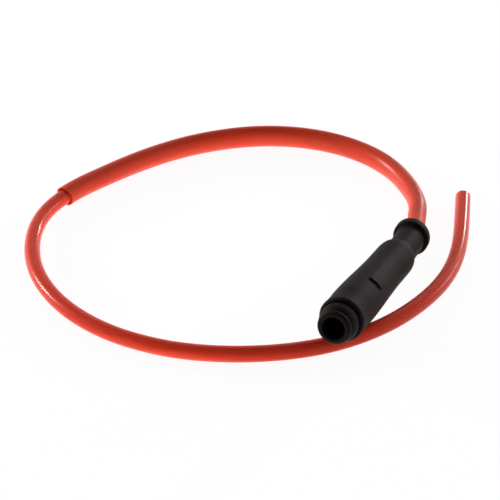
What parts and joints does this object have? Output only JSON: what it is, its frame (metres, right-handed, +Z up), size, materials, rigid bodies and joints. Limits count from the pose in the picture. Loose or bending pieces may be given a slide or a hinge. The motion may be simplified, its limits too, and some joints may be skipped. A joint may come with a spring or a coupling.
{
  "type": "spark plug cap",
  "caption": "Straight black rubber spark plug cap with a nose ring, a raised pad and a rear collar, on a loose red ignition lead that loops under its nose, part covered by a soft red sleeve.",
  "frame": {"origin": "on the surface that the part lies on, below the middle of the cap's box (the cap with its seals, without the lead and its sleeve)", "axes": "+Y runs level from the cap's nose towards its rear collar, +Z is up, +X is to the right of the cap as seen from behind its nose"},
  "size_m": [0.1929, 0.203, 0.0278],
  "materials": {
    "black_rubber": "matt moulded rubber",
    "red_silicone": "glossy translucent silicone",
    "red_sleeve": "glossy translucent silicone",
    "brown_resin": "moulded thermoset resin",
    "brass": "turned",
    "spring_steel": "plain drawn",
    "ceramic": "unglazed"
  },
  "bodies": {
    "root": {"cap_cover": "black_rubber", "plug_seal": "black_rubber", "lead_seal": "black_rubber", "insulator_tube": "brown_resin", "terminal_socket": "brass", "terminal_clip": "spring_steel", "contact_disc": "brass", "resistor_front_cup": "spring_steel", "resistor_rod": "ceramic", "resistor_rear_cup": "spring_steel", "contact_spring": "spring_steel", "spring_disc": "brass", "lead_screw": "brass", "ignition_lead": "red_silicone", "lead_sleeve": "red_sleeve"}
  },
  "joints": []
}
